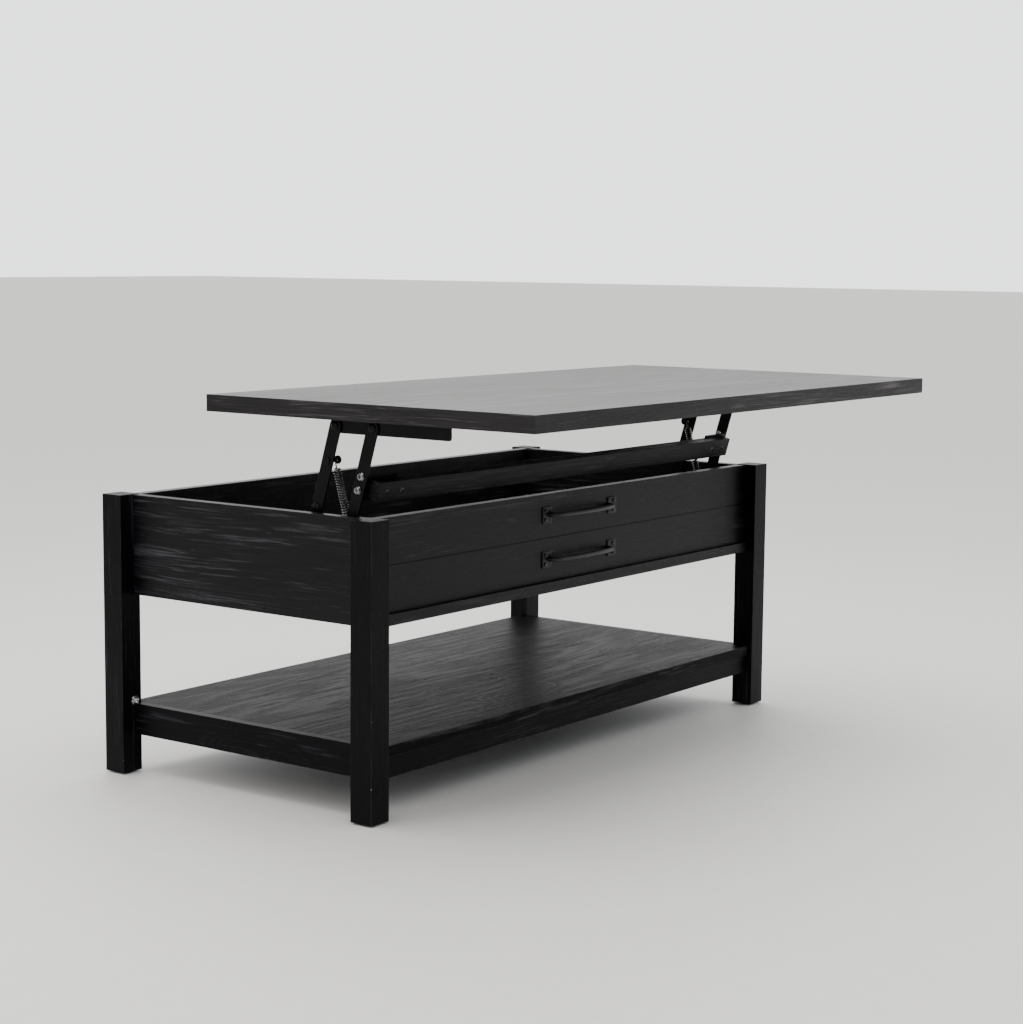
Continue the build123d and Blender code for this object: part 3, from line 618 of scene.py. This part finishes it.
for height_name in ("upper", "lower"):
    low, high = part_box("pull_" + height_name)
    middle_x, middle_z = (low.x + high.x) / 2, (low.z + high.z) / 2
    share = np.linspace(-1, 1, 121)
    bar_x = middle_x + share * (pull_half_span - pull_foot_splay)
    bowed = panel_face - pull_standoff - pull_bow * (1 - share**2)
    bar = np.stack((bar_x, bowed, np.full_like(share, middle_z)), 1)[8:-8]
    bend = np.linspace(0, 1, 12)[:, None]
    feet = []
    for side in (-1, 1):
        foot = np.array((middle_x + side * pull_half_span, panel_face - 0.4 * plate_thickness, middle_z))
        knee_x = middle_x + side * (pull_half_span - pull_foot_splay)
        knee = np.array((knee_x, panel_face - pull_standoff, middle_z))
        shoulder = bar[0] if side < 0 else bar[-1]
        feet.append((1 - bend) ** 2 * foot + 2 * bend * (1 - bend) * knee + bend**2 * shoulder)
    path = np.concatenate((feet[0][:-1], bar, feet[1][::-1][1:]))
    run = np.concatenate(([0], np.cumsum(np.linalg.norm(np.diff(path, axis=0), axis=1))))
    from_end = np.minimum(run, run[-1] - run)
    flare = np.exp(-from_end / 0.0022)
    thickness = rod_radius * (0.74 + 0.26 * np.clip(from_end / 0.045, 0, 1) ** 0.7) + 0.0012 * flare
    upward = np.broadcast_to(np.array((0, 0, 1.0)), path.shape)
    grids = [tube(path, thickness, upward, sides=20)]
    for side in (-1, 1):
        centre = np.array((middle_x + side * plate_centre, panel_face, middle_z))
        grids.append(rounded_plate(centre, (0, -1, 0), plate_width / 2, plate_height / 2, plate_thickness))
    mesh = mesh_from_grids(f"pull_{height_name}_cast", grids)
    new_piece(mesh, "base", "pull_metal", pull_black, f"pull_{height_name}")

pull_screws = screws("pull_screws_crossed", "pull_screws", (0, -1, 0), 0.0032, 0.0016)
new_piece(pull_screws, "base", "black_screw", black_oxide, "pull_screws")

# ---- lift plates, pins and posts ----
# A pressed steel plate is screwed inside each side apron. Riveted pins carry the two arms, a short pin
# stops the front arm when the top is raised, and a grooved post holds the spring's lower eye.

satin_black = coated(
    "satin_black_steel", (0.0012, 0.0009, 0.0013), (0.0034, 0.0028, 0.0036), 0.34, 0.12,
    scale=1100.0, shine=0.09,
)
for node in ("lift_plate_left", "lift_plate_right", "stop_pins"):
    finish_node(node, satin_black)


def towards_middle(middle):
    """Level, to the table's middle."""
    return (-np.sign(middle[0]), 0, 0)


def away_from_middle(middle):
    """Level, to the table's nearer end."""
    return (np.sign(middle[0]), 0, 0)


plate_screws = screws("lift_plate_screws_crossed", "lift_plate_screws", towards_middle, 0.004, 0.0022)
new_piece(plate_screws, "base", "black_screw", black_oxide, "lift_plate_screws")


def pin_rows(head_radius, head, pin_radius, grip, collar_radius, length):
    """A riveted pin from its domed head down: head, shank through the arm, collar and tail."""
    dome = [(head_radius * np.sin(t), -head * (1 - np.cos(t))) for t in np.linspace(0, np.pi / 2, 9)]
    return dome + [
        (head_radius, -head), (pin_radius, -head), (pin_radius, -head - grip), (collar_radius, -head - grip),
        (collar_radius, -length), (0, -length),
    ]


pin_head_radius, pin_head, pin_radius, arm_grip = 0.007, 0.0025, 0.004, 0.0034
pin_tops, pin_axes, pin_lengths = end_faces("lower_pivot_pins", towards_middle)
plate_face = abs(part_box("lift_plate_right")[0].x)
collar_end = plate_face - abs(pin_tops[0][0])
lower_rows = pin_rows(pin_head_radius, pin_head, pin_radius, arm_grip, pin_head_radius, collar_end)
lower_rows[-1:] = [(pin_radius, -collar_end), (pin_radius, -pin_lengths[0]), (0, -pin_lengths[0])]
lower_pins = mesh_from_grids("lower_pivot_rivets", turned(lower_rows, pin_tops, pin_axes))
new_piece(lower_pins, "base", "mechanism_steel", satin_black, "lower_pivot_pins")


def post_rows(knob_radius, knob, post_radius, length):
    """A spring post: a low domed knob with a rounded under edge, then the plain post."""
    quarter = np.linspace(0, np.pi / 2, 8)
    crown = [(knob_radius * np.sin(t), -0.2 * knob * (1 - np.cos(t))) for t in quarter]
    return crown + [
        (knob_radius, -0.75 * knob), (0.93 * knob_radius, -0.93 * knob), (post_radius, -knob),
        (post_radius, -length), (0, -length),
    ]


knob_radius, knob, post_radius = 0.006, 0.004, 0.003


anchor_tops, anchor_axes, anchor_lengths = end_faces("spring_anchors", towards_middle)
anchor_rows = post_rows(knob_radius, knob, post_radius, anchor_lengths[0])
anchors = mesh_from_grids("spring_anchor_posts", turned(anchor_rows, anchor_tops, anchor_axes))
new_piece(anchors, "base", "mechanism_steel", satin_black, "spring_anchors")

# ---- arms ----
# Four flat steel arms with stamped, slightly rolled edges: on each side a front one that carries the
# crossbar and a rear one that the spring pulls on. The rear ones carry a stud and a domed rivet.

lean_line = (joint_at["top_level"] - joint_at["lift_swing"]).normalized()
arm_up = np.array(lean_line)
arm_ahead = np.array((0, -arm_up[2], arm_up[1]))
arm_half_width, arm_roll = 0.010, 0.0006


def stamped_arm(node, foot):
    """A flat bar with round ends, stamped so that its edges roll over.

    The outline runs round both ends. The grid's rows draw it in to its middle line, and the height across
    the bar's thickness rises as the outline is drawn in over the rolled edge.
    """
    low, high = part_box(node)
    length = (joint_at["top_level"] - joint_at["lift_swing"]).length
    half = (high.x - low.x) / 2
    turn = np.linspace(-np.pi / 2, np.pi / 2, 17)
    turn = np.concatenate((turn, turn + np.pi))
    up_end = np.repeat((length, 0.0), 17)
    quarter = np.linspace(0, np.pi / 2, 5)
    rolled = [(arm_roll * (1 - np.sin(t)), -half + arm_roll * (1 - np.cos(t))) for t in quarter]
    rows = [(arm_half_width, -half), (arm_half_width * 0.5, -half)] + rolled
    rows += [(inset, -height) for inset, height in rows[::-1]]
    inset = np.array([row[0] for row in rows])[:, None, None]
    height = np.array([row[1] for row in rows])[:, None, None]
    outline = up_end[:, None] * arm_up
    outward_of = np.sin(turn)[:, None] * arm_ahead + np.cos(turn)[:, None] * arm_up
    grid = outline + (arm_half_width - inset) * outward_of
    middle_x = np.array(((low.x + high.x) / 2, foot.y, foot.z))
    return middle_x + grid + height * np.array((1.0, 0, 0))


collar_radius, collar, collar_ease = 0.0055, 0.002, 0.0004
for side_name in ("left", "right"):
    front_arm = f"front_arm_{side_name}"
    front = mesh_from_grids(front_arm + "_stamped", [stamped_arm(front_arm, joint_at["lift_swing"])])
    new_piece(front, "lift_frame", "mechanism_steel", satin_black, front_arm)
    rear_body = f"rear_arm_{side_name}"
    rear = mesh_from_grids(rear_body + "_stamped", [stamped_arm(rear_body, joint_at[rear_body + "_swing"])])
    new_piece(rear, rear_body, "mechanism_steel", satin_black, rear_body)

    stud_top, stud_axis, stud_lengths = end_faces(f"spring_stud_{side_name}", towards_middle)
    stud_end = stud_lengths[0]
    stud_rows = post_rows(knob_radius, knob, post_radius, stud_end - collar)[:-1]
    stud_rows += [(collar_radius, -stud_end + collar), (collar_radius, -stud_end + collar_ease)]
    stud_rows += [(collar_radius - 0.001, -stud_end), (0, -stud_end)]
    stud = mesh_from_grids(f"spring_stud_{side_name}_grooved", turned(stud_rows, stud_top, stud_axis))
    new_piece(stud, rear_body, "mechanism_steel", satin_black, f"spring_stud_{side_name}")

    rivet_top, rivet_axis, rivet_length = end_faces(f"rear_arm_rivet_{side_name}", away_from_middle)
    rivet_rows = pin_rows(pin_head_radius, pin_head, 0.003, 0.003, collar_radius, rivet_length[0])
    rivet = mesh_from_grids(f"rear_arm_rivet_{side_name}_domed", turned(rivet_rows, rivet_top, rivet_axis))
    new_piece(rivet, rear_body, "mechanism_steel", satin_black, f"rear_arm_rivet_{side_name}")

# ---- crossbar ----
# A laminated batten that ties the front arms, screwed to an angle bracket at each end. Two zinc-plated
# bolts hold each bracket to its arm.

finish_node("crossbar", charcoal_laminate("crossbar", "x", 11.9, figure=0.3, wear=0.0, shine=0.08))
for side_name in ("left", "right"):
    finish_node(f"crossbar_bracket_{side_name}", satin_black)

bar_screws = screws("crossbar_screws_crossed", "crossbar_screws", arm_ahead, 0.004, 0.0022)
new_piece(bar_screws, "lift_frame", "black_screw", black_oxide, "crossbar_screws")


def hexagon(angle):
    """The reach of a hexagon's side over its inner circle, which is 1 at a flat's middle."""
    return 1 / np.cos((angle + np.pi / 6) % (np.pi / 3) - np.pi / 6)


bright_steel = coated(
    "bright_bolt", (0.1, 0.1, 0.105), (0.45, 0.45, 0.46), 0.16, 0.08, metallic=1.0, scale=1400.0
)
bolt_outer, bolt_axes, bolt_lengths = end_faces("arm_bolts", away_from_middle)
flat_radius, flange_radius, shank_radius = 0.0048, 0.0056, 0.003
head_height, flange_top, flat_foot = 0.0036, 0.0028, 0.0026
nut_face = -bolt_lengths[0]
bolt_rows = [(flat_radius * r, -0.0002 * r, 0, 1) for r in np.linspace(0, 0.8, 10)]
bolt_rows += [(flat_radius * 0.97, -0.0003), (flat_radius, -0.0008, 1), (flat_radius, -flat_foot, 1)]
bolt_rows += [(flange_radius, -flange_top), (flange_radius, -head_height), (shank_radius, -head_height)]
bolt_rows += [(shank_radius, nut_face + head_height), (flange_radius, nut_face + head_height)]
bolt_rows += [(flange_radius, nut_face + flange_top), (flat_radius, nut_face + flat_foot, 1)]
bolt_rows += [(flat_radius, nut_face + 0.0006, 1), (0.9 * flat_radius, nut_face), (0, nut_face)]
bolt_cross = cross_slot(0.003, 0.0006, 0.0016)
bolts = turned(bolt_rows, bolt_outer, bolt_axes, sides=48, corner=hexagon, recess=bolt_cross)
new_piece(mesh_from_grids("arm_bolts_hexagon", bolts), "lift_frame", "zinc_steel", bright_steel, "arm_bolts")

# ---- assist springs ----
# Close-wound extension springs of dark oiled wire. Each hooks onto the post on its plate and the stud on
# the rear arm.

spring_steel = coated(
    "oiled_spring_wire", (0.05, 0.05, 0.053), (0.3, 0.3, 0.31), 0.18, 0.08, metallic=1.0, scale=700.0
)
wire_radius, coil_radius, eye_radius = 0.001, 0.00475, 0.0043
hook_reach, coil_turns, points_a_turn, opening_turns = 0.011, 43, 22, 0.75


def spring_wire(anchor, stud, across):
    """The wire's path and the direction that squares its section.

    Each end is most of a circle round its post, in the plane of the arms. Between them the wire is a helix
    about the line of the spring, which opens from that line in its first turn and closes to it in its last.
    """
    line = stud - anchor
    span = np.linalg.norm(line)
    line /= span
    beside = np.cross(across, line)
    ring = np.radians(np.linspace(-250, 0, 60))[:, None]
    lower_eye = anchor + eye_radius * (np.cos(ring) * line + np.sin(ring) * beside)
    upper_eye = stud - eye_radius * (np.cos(ring[::-1]) * line + np.sin(ring[::-1]) * beside)
    turns = np.linspace(0, coil_turns, coil_turns * points_a_turn)[:, None]
    opening = np.clip(np.minimum(turns, coil_turns - turns) / opening_turns, 0, 1)
    opening = opening**2 * (3 - 2 * opening)
    rise = hook_reach + (span - 2 * hook_reach) * turns / coil_turns
    angle = 2 * np.pi * turns
    radial = np.cos(angle) * across + np.sin(angle) * beside
    helix = anchor + rise * line + coil_radius * opening * radial
    path = np.concatenate((lower_eye, helix, upper_eye))
    flat = np.broadcast_to(across, lower_eye.shape)
    return path, np.concatenate((flat, radial, flat))


for side_name in ("left", "right"):
    anchor = np.array(joint_at[f"spring_{side_name}_swing"])
    slide = next(joint for joint in frame["joints"] if joint["name"] == f"spring_{side_name}_stretch")
    along = np.array(slide["axis"], float)
    along /= np.linalg.norm(along)
    stud_low, stud_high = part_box(f"spring_stud_{side_name}")
    stud_centre = np.array((anchor[0], (stud_low.y + stud_high.y) / 2, (stud_low.z + stud_high.z) / 2))
    path, squared = spring_wire(anchor, stud_centre, np.array((1.0, 0, 0)))
    coil = mesh_from_grids(f"assist_spring_{side_name}", [tube(path, wire_radius, squared, sides=10)])
    piece = bpy.data.objects.new(coil.name, coil)
    bpy.context.scene.collection.objects.link(piece)
    coil.materials.append(spring_steel)
    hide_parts(f"spring_{side_name}", f"spring_hook_{side_name}")
    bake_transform(piece)

# ---- lifting top ----
# A thick laminated board with its grain running lengthwise, banded on its four edges with a streaked
# strip whose joints show at the corners.

top_tones = [(0.0, (0.006, 0.006, 0.006)), (0.45, (0.018, 0.0175, 0.017)), (0.85, (0.06, 0.058, 0.056))]
band_tones = [(0.0, (0.005, 0.0045, 0.0055)), (0.42, (0.017, 0.0155, 0.0168)), (0.85, (0.11, 0.104, 0.106))]
top_laminate = charcoal_laminate("top_panel", "x", 12.6, figure=0.8, wear=0.0, tones=top_tones, shine=0.55)
finish_node("top_panel", top_laminate)
for node, along, cut in (
    ("top_band_left", "y", 13.3), ("top_band_right", "y", 14.1),
    ("top_band_front", "x", 15.2), ("top_band_back", "x", 16.4),
):
    finish_node(node, charcoal_laminate(node, along, cut, figure=0.3, wear=0.0, tones=band_tones))

# ---- top brackets ----
# Pressed steel angles screwed up into the top. Their lower flanges carry the arms' upper pins.

for side_name in ("left", "right"):
    finish_node(f"top_bracket_{side_name}", satin_black)
bracket_screws = screws("top_bracket_screws_crossed", "top_bracket_screws", down, 0.004, 0.0022)
new_piece(bracket_screws, "top", "black_screw", black_oxide, "top_bracket_screws")

upper_tops, upper_axes, upper_lengths = end_faces("upper_pivot_pins", away_from_middle)
upper_grip = upper_lengths[0] - 3 * pin_head
upper_rows = pin_rows(pin_head_radius, pin_head, pin_radius, upper_grip, pin_head_radius, upper_lengths[0])
upper_pins = mesh_from_grids("upper_pivot_rivets", turned(upper_rows, upper_tops, upper_axes))
new_piece(upper_pins, "top", "mechanism_steel", satin_black, "upper_pivot_pins")

# ---- studio ----
# A pale seamless floor in soft light: a wide softbox overhead, a dim room behind the camera and a bright
# wall beyond the table, which the level faces mirror at a low angle.

floor_mesh = bpy.data.meshes.new("floor")
reach = 40.0
corners = [(-reach, -reach, 0), (reach, -reach, 0), (reach, reach, 0), (-reach, reach, 0)]
floor_mesh.from_pydata(corners, [], [(0, 1, 2, 3)])
floor = bpy.data.objects.new("floor", floor_mesh)
bpy.context.scene.collection.objects.link(floor)
pale_floor = coated(
    "pale_floor", (0.76, 0.755, 0.75), (0.78, 0.775, 0.77), 0.55, 0.05, scale=30.0, relief=0.0
)
floor_mesh.materials.append(pale_floor)

world = bpy.data.worlds.new("studio")
bpy.context.scene.world = world
world.use_nodes = True
tree = world.node_tree
background = tree.nodes["Background"]
ahead = (-towards_camera.x, -towards_camera.y, 0.0)
look = add(tree, "TexCoord").outputs["Generated"]
facing = add(tree, "VectorMath", {0: look, 1: ahead}, operation="DOT_PRODUCT").outputs["Value"]
_, _, height = add(tree, "SeparateXYZ", {0: look}).outputs
wall = ramp(tree, facing, -0.1, 0.7, 0.15, 1.7)
ceiling = ramp(tree, height, 0.25, 0.8)
lit = mixed(tree, ceiling, wall, (1.5, 1.48, 1.43, 1))
seen = add(tree, "LightPath").outputs["Is Camera Ray"]
tree.links.new(mixed(tree, seen, lit, (2.35, 2.4, 2.4, 1)), background.inputs["Color"])

softboxes = (
    ("overhead", (0.0, 0.2, 2.6), (0, 0, 0.3), 3.0, 60.0, (1.0, 0.985, 0.96)),
    ("front_right", (2.2, -3.0, 1.9), (0, 0, 0.3), 1.6, 15.0, (0.8, 0.88, 1.0)),
    ("left_end", (-3.2, 1.0, 1.2), (0, 0, 0.35), 1.4, 26.0, (1.0, 0.98, 0.96)),
)
for name, place, aim, size, power, tint in softboxes:
    data = bpy.data.lights.new(name, "AREA")
    data.shape = "SQUARE"
    data.size = size
    data.energy = power
    data.color = tint
    lamp = bpy.data.objects.new(name, data)
    lamp.location = place
    lamp.rotation_euler = (Vector(aim) - Vector(place)).to_track_quat("-Z", "Y").to_euler()
    bpy.context.scene.collection.objects.link(lamp)
